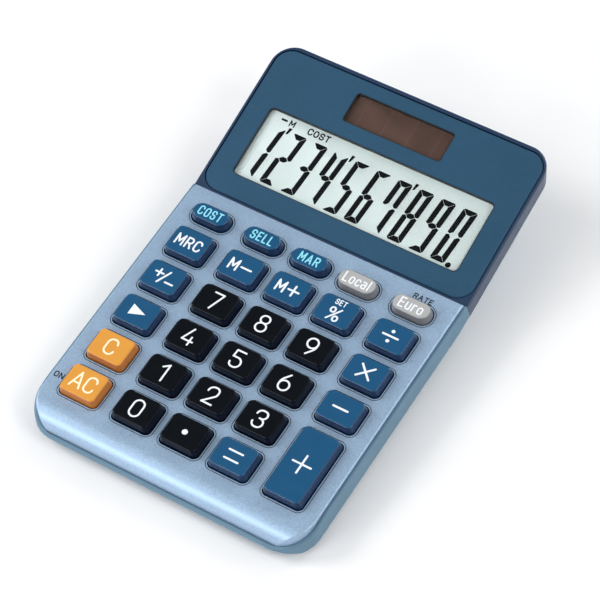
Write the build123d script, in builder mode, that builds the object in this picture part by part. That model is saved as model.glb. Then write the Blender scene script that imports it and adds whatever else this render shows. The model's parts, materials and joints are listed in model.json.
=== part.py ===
from build123d import *
from math import cos, radians, sin, tan
import os

# Desk calculator: a keyboard deck and a steeper display head on one wedge-shaped case.
# Millimetres.  X is to the right, Y to the back, Z up.  The origin is on the desk, under the middle
# of the case.  "Back" and "up" on the deck or the head are measured from the bend between the two,
# along the sloping surface and square to it.

# Case
case_width = 101.6
case_length = 156.0
overall_height = 30.0
front_corner_radius = 12.0
back_corner_radius = 8.0
keyboard_slope = 3.5
display_slope = 15.1
display_reach = 56.4            # level distance from the bend to the back of the case
head_drop = 2.0                 # step from the keyboard surface down to the display surface
fit_gap = 0.15                  # between parts of the case that fit side by side
overshoot = 1.0                 # how far a cut runs past the face that it opens

# Upper case, the keyboard surface
rim_width = 1.1                 # lower case that shows around the upper case
upper_wall = 2.0
front_roll_radius = 6.3
back_roll_length = 4.0
back_roll_drop = 1.0
back_edge_gap = 0.3
side_edge_radius = 0.5

# Seam between upper and lower case
side_seam_depth = 1.25
seam_turn = 11.6                # from the front face back to where the seam starts to fall
seam_fall = 0.36

# Lower case
lower_wall = 2.2
lower_depth = 9.3
floor_thickness = 1.5
rise_length = 4.6               # stretch of the underside that rises to the front face
underside_rise = 0.5
base_inset = 6.0
base_front = -68.0
base_back = 67.0
base_wall = 1.8
base_corner_radius = 5.0
floor_bend = -6.0               # on the deck, where the floor turns to follow the display
floor_join = 1.5                # on the head, where the hollow of the case ends
boss_root = 1.0                 # how far a screw boss runs down into the wedge

# Display head
housing_depth = 6.2
housing_wall = 1.8
head_floor_thickness = 1.4
housing_plate_depth = 3.4
housing_edge_radius = 0.6
panel_thickness = 1.0
panel_front = 1.2
panel_back = 56.4
panel_half_width = 49.55
panel_corner_radius = 6.0
panel_groove = 0.3

# Windows, display cell and solar cell
lcd_window_length = 83.6
lcd_window_height = 26.4
lcd_window_radius = 1.8
lcd_window_back = 22.1
solar_window_length = 36.6
solar_window_height = 11.2
solar_window_radius = 1.2
solar_window_back = 46.05
window_flange = 1.5
window_flange_thickness = 0.5
window_sink = 0.4
pocket_gap = 0.2
lcd_thickness = housing_plate_depth - panel_thickness - window_flange_thickness
lcd_frame_margin = 2.6
lcd_frame_thickness = 1.0
lcd_frame_lip = 3.3
reflector_thickness = 0.2
flex_width = 60.0
flex_thickness = 0.25
flex_drop = 1.4
flex_gap = 0.6
flex_lean = 0.4
flex_landing = 4.0
solar_cell_thickness = 1.1
solar_ledge = 2.4

# Keys
column_places = (-37.0, -17.5, 0.0, 17.5, 37.0)
first_row_back = -82.26
row_pitch = 14.84
option_row_back = -10.16
recess_width = 15.8             # outside of the fine groove around each key
recess_length = 13.0
option_recess_length = 8.8
recess_depth = 0.45
recess_groove = 0.22
recess_band = 0.65              # from the outside of the groove to the key's hole
recess_radius = 2.7
option_recess_radius = 4.1
least_flat = 0.02               # shortest straight side of a key with round ends
key_gap = 0.4
key_height = 3.2
key_side_draft = 0.55
key_front_draft = 0.12
key_back_draft = 0.7
key_straight = 0.4
key_edge_radius = 0.7
key_wall = 1.2
key_flange = 0.7
key_flange_thickness = 0.8
key_play = 0.1
key_travel = 1.2
plunger_radius = 1.8
plunger_depth = 3.5
key_rib = 0.8

# Keypad and circuit board
board_depth = 6.0
board_thickness = 0.8
board_half_width = 45.8
board_front = -92.5
board_back = -2.0
board_corner_radius = 6.0
mat_thickness = 0.8
mat_inset = 0.6
dome_radius = 3.6
dome_top_radius = 2.6
dome_clearance = 0.05
pill_radius = 2.0
pill_depth = 0.4
chip_column = -12.0
chip_back = -26.0
chip_radius = 7.0
chip_height = 1.2
small_chip_places = ((4, -20), (4, -24), (8, -20), (8, -24), (14, -22))
small_chip_length = 2.0
small_chip_width = 1.25
small_chip_height = 0.6
crystal_place = (-14, -12)
crystal_length = 8.0
crystal_width = 3.2
crystal_radius = 1.5
crystal_height = 2.4
capacitor_place = (20, -11)
capacitor_radius = 2.0
capacitor_length = 8.0
capacitor_pad_inset = 1.0
capacitor_pad_width = 1.0

# Bosses and screws
boss_column = 27.25
boss_radius = 1.5
boss_hole_gap = 0.5
board_boss_backs = (-84.0, -38.0, -12.0)
case_boss_back = -61.0
case_boss_depth = 7.2
lower_boss_radius = 3.2
head_boss_column = 40.0
head_boss_back = 49.5
head_boss_radius = 2.6
head_pad_radius = 4.2
head_pad_thickness = 1.6
screw_radius = 0.7
screw_gap = 0.05
screw_head_radius = 1.45
screw_head_thickness = 0.7
case_screw_head_radius = 1.9
case_screw_head_thickness = 1.3
screw_slot = 0.35
slot_reach = 0.6
case_screw_seat = 1.2
case_screw_bite = 4.0
board_screw_bite = 3.0
thread_play = 0.3

# Battery
cell_radius = 5.8
cell_height = 5.4
cell_gap = 0.4
cell_cap_height = 0.4
cover_length = 30.0
cover_width = 18.0
cover_ledge = 2.0
cover_screw_recess = 1.0
grip_pitch = 2.4
grip_count = 4
grip_width = 1.0
grip_depth = 0.4
battery_column = 20.0
battery_y = 38.0
cell_offset = -6.5
cover_screw_offset = 10.5
contact_thickness = 0.3
contact_width = 5.0
contact_tail = 4.5

# Feet
foot_height = 1.2
foot_radius = 4.0
foot_recess = 1.0
foot_edge = 0.4
foot_column = 36.0
foot_front = -58.0
foot_back = 52.0

# Wires
wire_radius = 0.4
wire_bend = 0.9
wire_column = 36.0
wire_slant = 16.0
wire_landing = 2.5
wire_run_depth = 5.3
solar_wire_column = 14.0
solar_wire_back = 42.25

# Places that follow from the sizes above
deck_angle = radians(keyboard_slope)
head_angle = radians(display_slope)
bend_y = case_length / 2 - display_reach
head_start_y = bend_y + head_drop * sin(deck_angle)
head_start_z = overall_height - (case_length / 2 - head_start_y) * tan(head_angle)
bend_height = head_start_z + head_drop * cos(deck_angle)
deck_length = (case_length / 2 + bend_y) / cos(deck_angle)
front_face = -(deck_length - rim_width)
far = 2 * case_length
front_end = -deck_length - overshoot  # just past the front face, where side views end

deck = Plane(origin=(0, bend_y, bend_height), x_dir=(1, 0, 0), z_dir=(0, -sin(deck_angle), cos(deck_angle)))
head = Plane(
    origin=(0, head_start_y, head_start_z), x_dir=(1, 0, 0), z_dir=(0, -sin(head_angle), cos(head_angle))
)
deck_up = Axis(deck.origin, deck.z_dir)
head_up = Axis(head.origin, head.z_dir)


upright_limit = 0.05            # how far an upright face's normal may lean
level_limit = 0.9               # how steep an edge may be and still run around the case
top_limit = 0.2                 # least lean of a face that counts as part of the top


def upright(face):
    """Whether a face stands upright."""
    return abs(face.normal_at().Z) < upright_limit


def side_point(plane, back, up):
    """A point of the side view, from its place on the deck or on the head."""
    point = plane.from_local_coords((0, back, up))
    return (point.Y, point.Z)


def arc_drop(reach, drop, part):
    """How far an arc that starts level and drops so much over its reach has dropped after a part of it."""
    arc_radius = (reach**2 + drop**2) / (2 * drop)
    return arc_radius - (arc_radius**2 - part**2) ** 0.5


def on(plane, x, back, up):
    """A plane parallel to the deck or the head, with its origin at the given place on it."""
    return Plane(origin=plane.from_local_coords((x, back, up)), x_dir=plane.x_dir, z_dir=plane.z_dir)


def case_block(inset, side_points, rounded=()):
    """A block with the outline of the case, moved inwards, between the lines of a side view."""
    with BuildPart() as block:
        with BuildSketch() as outline:
            Rectangle(case_width - 2 * inset, case_length - 2 * inset)
            fillet(outline.vertices().group_by(Axis.Y)[0], front_corner_radius - inset)
            fillet(outline.vertices().group_by(Axis.Y)[-1], back_corner_radius - inset)
        extrude(amount=2 * overall_height)
        with BuildSketch(Plane.YZ) as profile:
            with BuildLine():
                Polyline(*side_points, close=True)
            make_face()
            for corner, radius in rounded:
                fillet(profile.vertices().sort_by_distance((*corner, 0))[0], radius)
        extrude(amount=case_width, both=True, mode=Mode.INTERSECT)
    return block.part


def seam_line(lowered):
    """The seam of the case in the side view: level along the sides and falling to the front face."""
    turn = front_face + seam_turn
    depth = side_seam_depth + lowered
    end_depth = depth + (turn - front_end) * seam_fall
    return [side_point(deck, front_end, -end_depth), side_point(deck, turn, -depth)]


def base_block(inset, bottom, deck_depth, head_depth):
    """The wedge under the case, from its flat bottom up to a line below the deck and the head."""
    half_width = case_width / 2 - base_inset - inset
    front = base_front + inset
    back = base_back - inset
    deck_line_y, deck_line_z = side_point(deck, 0, -deck_depth)
    head_line_y, head_line_z = side_point(head, 0, -head_depth)
    front_top = deck_line_z + (front - deck_line_y) * tan(deck_angle)
    back_top = head_line_z + (back - head_line_y) * tan(head_angle)
    with BuildPart() as block:
        with BuildSketch(Plane.YZ):
            with BuildLine():
                Polyline(
                    (front, bottom),
                    (back, bottom),
                    (back, back_top),
                    (head_line_y, head_line_z),
                    (deck_line_y - head_drop, deck_line_z - head_drop * tan(deck_angle)),
                    (front, front_top),
                    close=True,
                )
            make_face()
        extrude(amount=half_width, both=True)
        fillet(block.edges().filter_by(Axis.Z), base_corner_radius - inset)
    return block.part


def finish(builder, name):
    """Name a finished piece and write it as a node of its own."""
    builder.part.label = name
    export_step(builder.part, f"parts/{name}.step")


os.makedirs("parts", exist_ok=True)

board_bosses = [(side * boss_column, back) for side in (-1, 1) for back in board_boss_backs]
case_bosses = [(side * boss_column, case_boss_back) for side in (-1, 1)]
head_bosses = [(side * head_boss_column, head_boss_back) for side in (-1, 1)]
feet_places = [(side * foot_column, y) for side in (-1, 1) for y in (foot_front, foot_back)]

# Lower case

floor_depth = lower_depth - floor_thickness
head_floor_depth = housing_depth - head_floor_thickness
base_floor = foot_height + base_wall
cover_top = base_floor
holder_top = cover_top + cell_height
rise_start = -deck_length + rise_length
inside_rise = rise_start + floor_thickness
foot_seat = foot_height + foot_recess

tray_outside = [
    *seam_line(0),
    side_point(head, 0, head_drop - side_seam_depth),
    side_point(head, 0, -housing_depth),
    side_point(deck, floor_bend, -lower_depth),
    side_point(deck, rise_start, -lower_depth),
    side_point(deck, front_end, -lower_depth + (rise_start - front_end) * underside_rise),
]
tray_inside = [
    side_point(deck, front_end, overall_height),
    side_point(head, floor_join, overall_height),
    side_point(head, floor_join, -head_floor_depth),
    side_point(deck, floor_bend, -floor_depth),
    side_point(deck, inside_rise, -floor_depth),
    side_point(deck, front_end, -floor_depth + (inside_rise - front_end) * underside_rise),
]
head_floor = [
    side_point(deck, floor_bend, -floor_depth),
    side_point(head, floor_join, -head_floor_depth),
    side_point(head, far, -head_floor_depth),
    side_point(head, far, -housing_depth),
    side_point(head, 0, -housing_depth),
    side_point(deck, floor_bend, -lower_depth),
]
upper_seat = [
    *seam_line(upper_wall - side_seam_depth),
    side_point(deck, floor_join, -upper_wall),
    side_point(head, floor_join, overall_height),
    side_point(deck, front_end, overall_height),
]
seam_corner = [(seam_line(0)[1], 2 * seam_turn)]
seat_corner = [(seam_line(upper_wall - side_seam_depth)[1], 2 * seam_turn)]

with BuildPart() as lower_case:
    add(case_block(0, tray_outside, seam_corner))
    walls = lower_case.faces().filter_by(upright)
    joint_face = lower_case.faces().filter_by(upright, reverse=True).sort_by(Axis.Y)[-1]
    joint_edges = joint_face.edges()
    rim_edges = walls.edges().filter_by(lambda edge: abs(edge.tangent_at(0.5).Z) < level_limit)
    fillet([edge for edge in rim_edges if edge not in joint_edges], side_edge_radius)
    add(case_block(housing_wall + fit_gap, head_floor))
    add(base_block(0, foot_height, lower_depth - floor_thickness / 2, housing_depth - floor_thickness / 2))
    add(case_block(lower_wall, tray_inside), mode=Mode.SUBTRACT)
    add(case_block(rim_width - fit_gap, upper_seat, seat_corner), mode=Mode.SUBTRACT)
    base_hollow = base_block(base_wall, base_floor, board_depth, head_floor_depth - floor_thickness)
    add(base_hollow, mode=Mode.SUBTRACT)
    # bosses for the screws that hold the upper case
    for x, back in case_bosses:
        with BuildSketch(on(deck, x, back, -case_boss_depth)):
            Circle(lower_boss_radius)
        extrude(amount=-(lower_depth - case_boss_depth + boss_root))
        with BuildSketch(on(deck, x, back, -case_boss_depth)):
            Circle(screw_radius + screw_gap)
        extrude(amount=-overall_height, mode=Mode.SUBTRACT)
        with BuildSketch(on(deck, x, back, -case_boss_depth - case_screw_seat)):
            Circle(case_screw_head_radius + screw_gap)
        extrude(amount=-overall_height, mode=Mode.SUBTRACT)
    # pads and holes for the screws that hold the display housing
    for x, back in head_bosses:
        with BuildSketch(on(head, x, back, -head_floor_depth)):
            Circle(head_pad_radius)
        extrude(amount=-(head_floor_thickness + head_pad_thickness))
        with BuildSketch(on(head, x, back, -head_floor_depth)):
            Circle(screw_radius + screw_gap)
        extrude(amount=-overall_height, mode=Mode.SUBTRACT)
        with BuildSketch(on(head, x, back, -head_floor_depth - head_floor_thickness)):
            Circle(case_screw_head_radius + screw_gap)
        extrude(amount=-overall_height, mode=Mode.SUBTRACT)
    # battery holder over an opening that the cover closes
    with BuildSketch(Plane.XY.offset(foot_height)):
        with Locations((battery_column, battery_y)):
            Rectangle(cover_length + 2 * cover_ledge, cover_width + 2 * cover_ledge)
    extrude(amount=holder_top - foot_height)
    with BuildSketch(Plane.XY.offset(foot_height)):
        with Locations((battery_column, battery_y)):
            RectangleRounded(cover_length + 2 * fit_gap, cover_width + 2 * fit_gap, cover_ledge)
    extrude(amount=cover_top - foot_height, mode=Mode.SUBTRACT)
    with BuildSketch(Plane.XY.offset(cover_top)):
        with Locations((battery_column + cell_offset, battery_y)):
            Circle(cell_radius + cell_gap)
            with Locations((-cell_radius - cover_ledge / 2, 0)):
                Rectangle(2 * cover_ledge, contact_width + 2 * fit_gap)
        with Locations((battery_column + cover_screw_offset, battery_y)):
            Circle(screw_radius + screw_gap)
    extrude(amount=overall_height, mode=Mode.SUBTRACT)
    with BuildSketch(Plane.XY.offset(foot_height)):
        with Locations(*feet_places):
            Circle(foot_radius)
    extrude(amount=foot_recess, mode=Mode.SUBTRACT)
finish(lower_case, "lower_case")

# Upper case

roll_centre_back = front_face + front_roll_radius
back_arc_half = back_roll_length / 2
back_arc_half_drop = arc_drop(back_roll_length, back_roll_drop, back_arc_half)


def rolled_block(inset):
    """The outline of the upper case under a flat deck with a rolled front, moved inwards."""
    radius = front_roll_radius - inset
    middle = radius * sin(radians(45))
    side = rim_width + inset
    with BuildPart() as block:
        with BuildSketch() as outline:
            Rectangle(case_width - 2 * side, case_length - 2 * side)
            fillet(outline.vertices().group_by(Axis.Y)[0], front_corner_radius - side)
        extrude(amount=2 * overall_height)
        with BuildSketch(Plane.YZ):
            with BuildLine():
                Polyline(
                    side_point(deck, roll_centre_back - radius, -front_roll_radius),
                    side_point(deck, roll_centre_back - radius, -2 * lower_depth),
                    side_point(deck, 0, -2 * lower_depth),
                    side_point(deck, 0, -inset),
                    side_point(deck, roll_centre_back, -inset),
                )
                ThreePointArc(
                    side_point(deck, roll_centre_back, -inset),
                    side_point(deck, roll_centre_back - middle, middle - front_roll_radius),
                    side_point(deck, roll_centre_back - radius, -front_roll_radius),
                )
            make_face()
        extrude(amount=case_width, both=True, mode=Mode.INTERSECT)
    return block.part


def key_outline(width, length, radius, mode=Mode.ADD):
    """Rounded outline of a key, its hole or the groove around it."""
    RectangleRounded(width, length, min(radius, (min(width, length) - least_flat) / 2), mode=mode)


tall_key_back = first_row_back + row_pitch / 2
tall_recess_length = recess_length + row_pitch
key_rows = [first_row_back + row * row_pitch for row in range(5)]
key_names = (
    ("key_all_clear", "key_clear", "key_backspace", "key_sign", "key_memory_recall"),
    ("key_0", "key_1", "key_4", "key_7", "key_memory_minus"),
    ("key_point", "key_2", "key_5", "key_8", "key_memory_plus"),
    ("key_equals", "key_3", "key_6", "key_9", "key_percent"),
    (None, None, "key_minus", "key_times", "key_divide"),
)
option_key_names = ("key_cost", "key_sell", "key_margin", "key_local", "key_euro")

# each key: name, place across, place back, length and corner radius of the groove around it
keys = [("key_plus", column_places[-1], tall_key_back, tall_recess_length, recess_radius)]
for x, names in zip(column_places, key_names):
    for back, name in zip(key_rows, names):
        if name:
            keys.append((name, x, back, recess_length, recess_radius))
for x, name in zip(column_places, option_key_names):
    keys.append((name, x, option_row_back, option_recess_length, option_recess_radius))

ledge_line = seam_line(upper_wall - side_seam_depth)
below_ledge = [
    *ledge_line,
    side_point(deck, far, -upper_wall),
    side_point(deck, far, -far),
    side_point(deck, front_end, -far),
]

with BuildPart() as upper_case:
    add(rolled_block(0))
    # the surface rolls down to the display
    with BuildSketch(Plane.YZ):
        with BuildLine():
            edge_back = -back_edge_gap
            Polyline(
                side_point(deck, edge_back, -back_roll_drop),
                side_point(deck, edge_back, -far),
                side_point(deck, back_roll_length, -far),
                side_point(deck, back_roll_length, overshoot),
                side_point(deck, edge_back - back_roll_length, overshoot),
                side_point(deck, edge_back - back_roll_length, 0),
            )
            ThreePointArc(
                side_point(deck, edge_back - back_roll_length, 0),
                side_point(deck, edge_back - back_arc_half, -back_arc_half_drop),
                side_point(deck, edge_back, -back_roll_drop),
            )
        make_face()
    extrude(amount=case_width, both=True, mode=Mode.SUBTRACT)
    walls = upper_case.faces().filter_by(upright)
    tops = upper_case.faces().filter_by(lambda face: face.normal_at().Z > top_limit)
    top_edges = tops.edges()
    fillet([edge for edge in walls.edges() if edge in top_edges], side_edge_radius)
    # hollow inside
    with BuildSketch(Plane.YZ) as below:
        with BuildLine():
            Polyline(*below_ledge, close=True)
        make_face()
        fillet(below.vertices().sort_by_distance((*ledge_line[1], 0))[0], 2 * seam_turn)
    extrude(amount=case_width, both=True, mode=Mode.SUBTRACT)
    add(rolled_block(upper_wall), mode=Mode.SUBTRACT)
    # a fine groove around each key, and the hole inside it
    for name, x, back, length, radius in keys:
        with BuildSketch(on(deck, x, back, 0)):
            groove = 2 * recess_groove
            key_outline(recess_width, length, radius)
            key_outline(recess_width - groove, length - groove, radius - recess_groove, Mode.SUBTRACT)
        extrude(amount=-recess_depth, mode=Mode.SUBTRACT)
        with BuildSketch(on(deck, x, back, 0)):
            band = 2 * recess_band
            key_outline(recess_width - band, length - band, radius - recess_band)
        extrude(amount=-overall_height, mode=Mode.SUBTRACT)
    for x, back in board_bosses:
        with BuildSketch(on(deck, x, back, -board_depth)):
            Circle(boss_radius)
        extrude(amount=board_depth - upper_wall / 2)
        with BuildSketch(on(deck, x, back, -board_depth)):
            Circle(screw_radius)
        extrude(amount=board_screw_bite, mode=Mode.SUBTRACT)
    for x, back in case_bosses:
        with BuildSketch(on(deck, x, back, -case_boss_depth)):
            Circle(boss_radius)
        extrude(amount=case_boss_depth - upper_wall / 2)
        with BuildSketch(on(deck, x, back, -case_boss_depth)):
            Circle(screw_radius)
        extrude(amount=case_screw_bite, mode=Mode.SUBTRACT)
finish(upper_case, "upper_case")

# Display housing

housing_front = fit_gap
housing_outside = [
    side_point(head, housing_front, 0),
    side_point(head, far, 0),
    side_point(head, far, -housing_depth),
    side_point(head, housing_front, -housing_depth),
]
housing_inside = [
    side_point(head, housing_front - overshoot, -housing_plate_depth),
    side_point(head, far, -housing_plate_depth),
    side_point(head, far, -2 * housing_depth),
    side_point(head, housing_front - overshoot, -2 * housing_depth),
]
panel_length = panel_back - panel_front
panel_middle = (panel_back + panel_front) / 2
lens_length = lcd_window_length + 2 * window_flange
lens_height = lcd_window_height + 2 * window_flange
solar_lens_length = solar_window_length + 2 * window_flange
solar_lens_height = solar_window_height + 2 * window_flange
lens_bottom = panel_thickness + window_flange_thickness
solar_pocket_depth = lens_bottom + solar_cell_thickness

with BuildPart() as display_housing:
    add(case_block(0, housing_outside))
    outer_faces = display_housing.faces().filter_by(upright)
    top_edges = display_housing.faces().sort_by(head_up)[-1].edges()
    fillet([edge for edge in outer_faces.edges() if edge in top_edges], housing_edge_radius)
    add(case_block(housing_wall, housing_inside), mode=Mode.SUBTRACT)
    with BuildSketch(on(head, 0, panel_middle, 0)):
        seat_width = 2 * (panel_half_width + panel_groove)
        seat_length = panel_length + 2 * panel_groove
        RectangleRounded(seat_width, seat_length, panel_corner_radius + panel_groove)
    extrude(amount=-panel_thickness, mode=Mode.SUBTRACT)
    with BuildSketch(on(head, 0, lcd_window_back, 0)):
        Rectangle(lens_length + 2 * pocket_gap, lens_height + 2 * pocket_gap)
    extrude(amount=-2 * housing_depth, mode=Mode.SUBTRACT)
    with BuildSketch(on(head, 0, solar_window_back, 0)):
        Rectangle(solar_lens_length + 2 * pocket_gap, solar_lens_height + 2 * pocket_gap)
    extrude(amount=-solar_pocket_depth, mode=Mode.SUBTRACT)
    with BuildSketch(on(head, 0, solar_window_back, 0)):
        Rectangle(solar_window_length - solar_ledge, solar_window_height - solar_ledge)
    extrude(amount=-2 * housing_depth, mode=Mode.SUBTRACT)
    for x, back in head_bosses:
        with BuildSketch(on(head, x, back, -head_floor_depth)):
            Circle(head_boss_radius)
        extrude(amount=head_floor_depth - housing_plate_depth)
        with BuildSketch(on(head, x, back, -head_floor_depth)):
            Circle(screw_radius)
        extrude(amount=board_screw_bite, mode=Mode.SUBTRACT)
finish(display_housing, "display_housing")

# Display panel and the two windows in it

with BuildPart() as display_panel:
    with BuildSketch(on(head, 0, panel_middle, -panel_thickness)):
        RectangleRounded(2 * panel_half_width, panel_length, panel_corner_radius)
    extrude(amount=panel_thickness)
    top_face = display_panel.faces().sort_by(head_up)[-1]
    chamfer(top_face.edges(), panel_groove)
    with BuildSketch(on(head, 0, lcd_window_back, 0)):
        RectangleRounded(lcd_window_length, lcd_window_height, lcd_window_radius)
    with BuildSketch(on(head, 0, solar_window_back, 0)):
        RectangleRounded(solar_window_length, solar_window_height, solar_window_radius)
    extrude(amount=-overall_height, mode=Mode.SUBTRACT)
finish(display_panel, "display_panel")


def window_lens(length, height, radius, back):
    """A clear window: a step that fills the panel's opening and a flange under the panel."""
    with BuildPart() as lens:
        with BuildSketch(on(head, 0, back, -lens_bottom)):
            RectangleRounded(length + 2 * window_flange, height + 2 * window_flange, radius)
        extrude(amount=window_flange_thickness)
        with BuildSketch(on(head, 0, back, -panel_thickness)):
            RectangleRounded(length - 2 * fit_gap, height - 2 * fit_gap, radius - fit_gap)
        extrude(amount=panel_thickness - window_sink)
    return lens


display_window = window_lens(lcd_window_length, lcd_window_height, lcd_window_radius, lcd_window_back)
finish(display_window, "display_window")
solar_window = window_lens(solar_window_length, solar_window_height, solar_window_radius, solar_window_back)
finish(solar_window, "solar_window")

# Display cell, its foil, its frame and the flexible strip to the circuit board

with BuildPart() as lcd_glass:
    with BuildSketch(on(head, 0, lcd_window_back, -lens_bottom)):
        Rectangle(lens_length, lens_height)
    extrude(amount=-lcd_thickness)
finish(lcd_glass, "lcd_glass")

frame_opening_length = lens_length - 2 * lcd_frame_lip
frame_opening_height = lens_height - 2 * lcd_frame_lip
opening_front = lcd_window_back - frame_opening_height / 2
reflector_height = frame_opening_height - flex_landing - pocket_gap
with BuildPart() as lcd_frame:
    with BuildSketch(on(head, 0, lcd_window_back, -housing_plate_depth)):
        Rectangle(lens_length + 2 * lcd_frame_margin, lens_height + 2 * lcd_frame_margin)
        Rectangle(frame_opening_length, frame_opening_height, mode=Mode.SUBTRACT)
    extrude(amount=-lcd_frame_thickness)
finish(lcd_frame, "lcd_frame")

reflector_back = opening_front + flex_landing + pocket_gap + reflector_height / 2
with BuildPart() as lcd_reflector:
    with BuildSketch(on(head, 0, reflector_back, -housing_plate_depth)):
        Rectangle(frame_opening_length - 2 * pocket_gap, reflector_height - 2 * pocket_gap)
    extrude(amount=-reflector_thickness)
finish(lcd_reflector, "lcd_reflector")

flex_half = flex_thickness / 2
flex_route = (
    side_point(head, opening_front + flex_landing, -housing_plate_depth - flex_half),
    side_point(head, opening_front + flex_gap + flex_lean, -housing_plate_depth - flex_half),
    side_point(head, opening_front + flex_gap, -housing_plate_depth - lcd_frame_thickness - flex_drop),
    side_point(deck, board_back - flex_gap, -board_depth + flex_half),
    side_point(deck, board_back - flex_landing, -board_depth + flex_half),
)
with BuildPart() as lcd_flex:
    with BuildSketch(Plane.YZ):
        with BuildLine():
            FilletPolyline(*flex_route, radius=flex_thickness)
        trace(line_width=flex_thickness)
    extrude(amount=flex_width / 2, both=True)
finish(lcd_flex, "lcd_flex")

with BuildPart() as solar_cell:
    with BuildSketch(on(head, 0, solar_window_back, -lens_bottom)):
        Rectangle(solar_lens_length, solar_lens_height)
    extrude(amount=-solar_cell_thickness)
finish(solar_cell, "solar_cell")

# Keys


def make_key(x, back, length, radius):
    """A hollow key with a flange under the case, a plunger and ribs that join the two."""
    hole_width = recess_width - 2 * recess_band
    hole_length = length - 2 * recess_band
    width = hole_width - 2 * key_gap
    depth = hole_length - 2 * key_gap
    corner = radius - recess_band - key_gap
    flange_top = upper_wall + key_play
    top_width = width - 2 * key_side_draft
    top_depth = depth - key_front_draft - key_back_draft
    top_shift = (key_front_draft - key_back_draft) / 2
    inside_top = key_height - key_wall
    inside_width = width - 2 * key_wall
    inside_depth = depth - 2 * key_wall
    inside_corner = max(corner - key_wall, key_wall / 2)
    plunger_step = (length - recess_length) / 2 if length > recess_length else 0
    plungers = (-plunger_step, plunger_step) if plunger_step else (0,)
    with BuildPart() as key:
        with BuildSketch(on(deck, x, back, -flange_top)):
            key_outline(hole_width + 2 * key_flange, hole_length + 2 * key_flange, corner + key_flange)
        extrude(amount=-key_flange_thickness)
        with BuildSketch(on(deck, x, back, -flange_top)):
            key_outline(width, depth, corner)
        extrude(amount=flange_top + key_straight)
        with BuildSketch(on(deck, x, back, key_straight)):
            key_outline(width, depth, corner)
        with BuildSketch(on(deck, x, back + top_shift, key_height)):
            key_outline(top_width, top_depth, corner - key_front_draft)
        loft()
        fillet(key.faces().sort_by(deck_up)[-1].edges(), key_edge_radius)
        with BuildSketch(on(deck, x, back, -flange_top - key_flange_thickness)):
            key_outline(inside_width, inside_depth, inside_corner)
        extrude(amount=flange_top + key_flange_thickness + inside_top, mode=Mode.SUBTRACT)
        rib_bottom = flange_top - key_rib
        with BuildSketch(on(deck, x, back, -rib_bottom)):
            Rectangle(key_rib, depth - key_wall)
            with Locations(*[(0, place) for place in plungers]):
                Rectangle(width - key_wall, key_rib)
        extrude(amount=rib_bottom + inside_top)
        with BuildSketch(on(deck, x, back, -plunger_depth)):
            with Locations(*[(0, place) for place in plungers]):
                Circle(plunger_radius)
        extrude(amount=plunger_depth + inside_top)
    return key


for name, x, back, length, radius in keys:
    finish(make_key(x, back, length, radius), name)

# Keypad, circuit board and what is on it

board_length = board_back - board_front
board_middle = (board_back + board_front) / 2
boss_holes = [(x, back - board_middle) for x, back in board_bosses]
case_boss_holes = [(x, back - board_middle) for x, back in case_bosses]
dome_places = []
for name, x, back, length, radius in keys:
    step = row_pitch / 2 if length > recess_length else 0
    dome_places += [(x, back - board_middle + place) for place in ({-step, step})]
dome_bottom = board_depth - mat_thickness
dome_top = plunger_depth + key_travel + dome_clearance

with BuildPart() as circuit_board:
    with BuildSketch(on(deck, 0, board_middle, -board_depth)):
        RectangleRounded(2 * board_half_width, board_length, board_corner_radius)
        with Locations(*boss_holes):
            Circle(screw_radius + pocket_gap, mode=Mode.SUBTRACT)
        with Locations(*case_boss_holes):
            Circle(boss_radius + boss_hole_gap, mode=Mode.SUBTRACT)
    extrude(amount=-board_thickness)
finish(circuit_board, "circuit_board")

with BuildPart() as keypad_rubber:
    with BuildSketch(on(deck, 0, board_middle, -board_depth)):
        mat_length = board_length - 2 * flex_landing
        RectangleRounded(2 * (board_half_width - mat_inset), mat_length, board_corner_radius - mat_inset)
        with Locations(*boss_holes, *case_boss_holes):
            Circle(boss_radius + boss_hole_gap, mode=Mode.SUBTRACT)
    extrude(amount=mat_thickness)
    dome_planes = [on(deck, x, board_middle + back, -dome_bottom) for x, back in dome_places]
    with Locations(*dome_planes):
        dome_height = dome_bottom - dome_top
        Cone(dome_radius, dome_top_radius, dome_height, align=(Align.CENTER, Align.CENTER, Align.MIN))
    with BuildSketch(on(deck, 0, board_middle, -board_depth)):
        with Locations(*dome_places):
            Circle(pill_radius)
    extrude(amount=pill_depth, mode=Mode.SUBTRACT)
finish(keypad_rubber, "keypad_rubber")

board_underside = board_depth + board_thickness
with BuildPart() as controller_chip:
    # a shallow dome of resin over the chip
    blob_plane = on(deck, chip_column, chip_back, -board_underside)
    chip_middle = (chip_radius / 2, arc_drop(chip_radius, chip_height, chip_radius / 2) - chip_height)
    with BuildSketch(Plane(origin=blob_plane.origin, x_dir=blob_plane.x_dir, z_dir=-blob_plane.y_dir)):
        with BuildLine():
            ThreePointArc((0, -chip_height), chip_middle, (chip_radius, 0))
            Line((chip_radius, 0), (0, 0))
            Line((0, 0), (0, -chip_height))
        make_face()
    revolve(axis=Axis(blob_plane.origin, blob_plane.z_dir))
finish(controller_chip, "controller_chip")

with BuildPart() as board_components:
    with BuildSketch(on(deck, 0, 0, -board_underside)):
        with Locations(*small_chip_places):
            Rectangle(small_chip_length, small_chip_width)
    extrude(amount=-small_chip_height)
    with BuildSketch(on(deck, 0, 0, -board_underside)):
        with Locations(crystal_place):
            RectangleRounded(crystal_length, crystal_width, crystal_radius)
    extrude(amount=-crystal_height)
    with Locations(on(deck, *capacitor_place, -board_underside - capacitor_radius)):
        Cylinder(capacitor_radius, capacitor_length, rotation=(0, 90, 0))
    with BuildSketch(on(deck, *capacitor_place, -board_underside)):
        Rectangle(capacitor_length - 2 * capacitor_pad_inset, capacitor_pad_width)
    extrude(amount=-capacitor_radius)
finish(board_components, "board_components")

# Screws


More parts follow.
